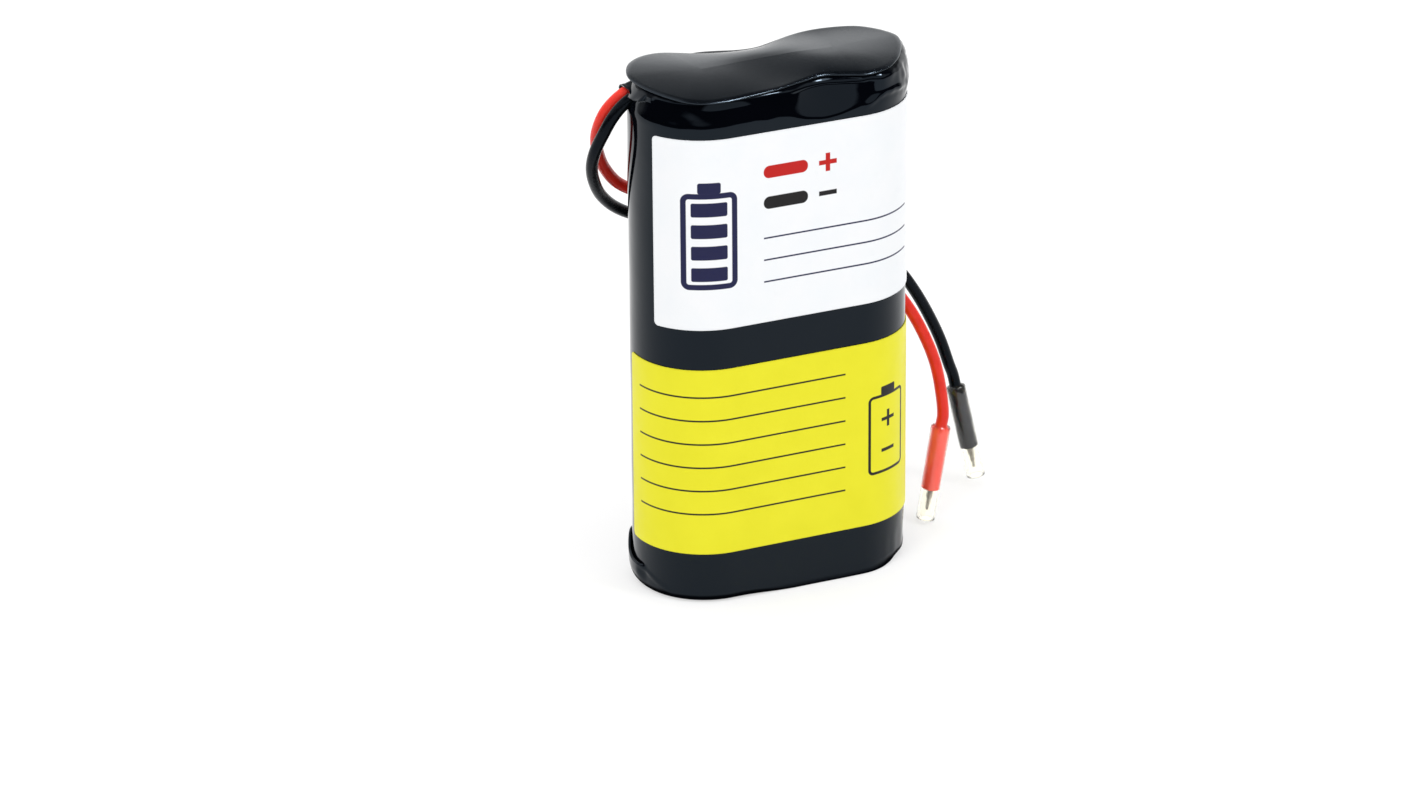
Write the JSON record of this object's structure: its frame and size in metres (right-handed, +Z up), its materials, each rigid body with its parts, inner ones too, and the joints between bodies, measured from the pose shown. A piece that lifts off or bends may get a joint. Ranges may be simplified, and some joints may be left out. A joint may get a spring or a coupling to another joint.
{
  "type": "battery pack",
  "caption": "Upright rechargeable battery pack: cylindrical cells side by side in a black shrink sleeve, with blank white and yellow labels and a red and a black lead with clear end sleeves.",
  "frame": {"origin": "centre of the base of the sleeved block, on the surface it stands on", "axes": "+X along the row of cells, away from the end where the leads leave; -Y towards the labelled front; +Z up along the cells"},
  "size_m": [0.0598, 0.0233, 0.0701],
  "materials": {
    "black_film": "glossy shrink film",
    "cover_board": "satin",
    "black_fibre": "matte fibre board",
    "white_label": "satin label film",
    "yellow_label": "satin label film",
    "can_steel": "nickel plated",
    "electrode": "wound foil",
    "disc_plastic": "plain",
    "tab_aluminium": "plain",
    "green_paper": "insulating paper",
    "jacket_film": "shrink film",
    "glue": "hot melt",
    "nickel": "rolled nickel",
    "board_laminate": "solder mask",
    "pad_gold": "gold flash",
    "chip_black": "moulded",
    "capacitor_tan": "ceramic",
    "solder": "bright solder",
    "frame_plastic": "moulded",
    "red_insulation": "satin",
    "black_insulation": "satin",
    "tinned_copper": "tinned strands",
    "clear_tube": "clear tube"
  },
  "bodies": {
    "pack": {"outer_sleeve": "black_film", "cover_plate": "cover_board", "base_plate": "black_fibre", "white_label": "white_label", "yellow_label": "yellow_label", "can_left": "can_steel", "can_right": "can_steel", "electrode_roll_left": "electrode", "electrode_roll_right": "electrode", "lower_disc_left": "disc_plastic", "lower_disc_right": "disc_plastic", "upper_disc_left": "disc_plastic", "upper_disc_right": "disc_plastic", "inner_tab_left": "tab_aluminium", "inner_tab_right": "tab_aluminium", "vent_disc_left": "tab_aluminium", "vent_disc_right": "tab_aluminium", "rim_gasket_left": "disc_plastic", "rim_gasket_right": "disc_plastic", "positive_cap_left": "can_steel", "positive_cap_right": "can_steel", "paper_ring_left": "green_paper", "paper_ring_right": "green_paper", "jacket_left": "jacket_film", "jacket_right": "jacket_film", "glue_beads": "glue", "negative_strip": "nickel", "negative_riser": "nickel", "riser_paper": "green_paper", "positive_strip": "nickel", "board_sheet": "green_paper", "circuit_board": "board_laminate", "board_pads": "pad_gold", "switch_chips": "chip_black", "control_chip": "chip_black", "chip_resistors": "chip_black", "chip_capacitors": "capacitor_tan", "solder_joints": "solder", "spacer_frame": "frame_plastic", "lid_sheet": "green_paper", "red_lead": "red_insulation", "black_lead": "black_insulation", "red_strands": "tinned_copper", "black_strands": "tinned_copper"},
    "red_tube": {"red_end_sleeve": "clear_tube"},
    "black_tube": {"black_end_sleeve": "clear_tube"}
  },
  "joints": [
    {"name": "red_tube_pull", "type": "slide", "parent": "pack", "child": "red_tube", "axis": [-0.1595, 0.0152, -0.9871], "range_m": [0, 0.014]},
    {"name": "black_tube_pull", "type": "slide", "parent": "pack", "child": "black_tube", "axis": [0.182, -0.1238, -0.9755], "range_m": [0, 0.014]}
  ]
}
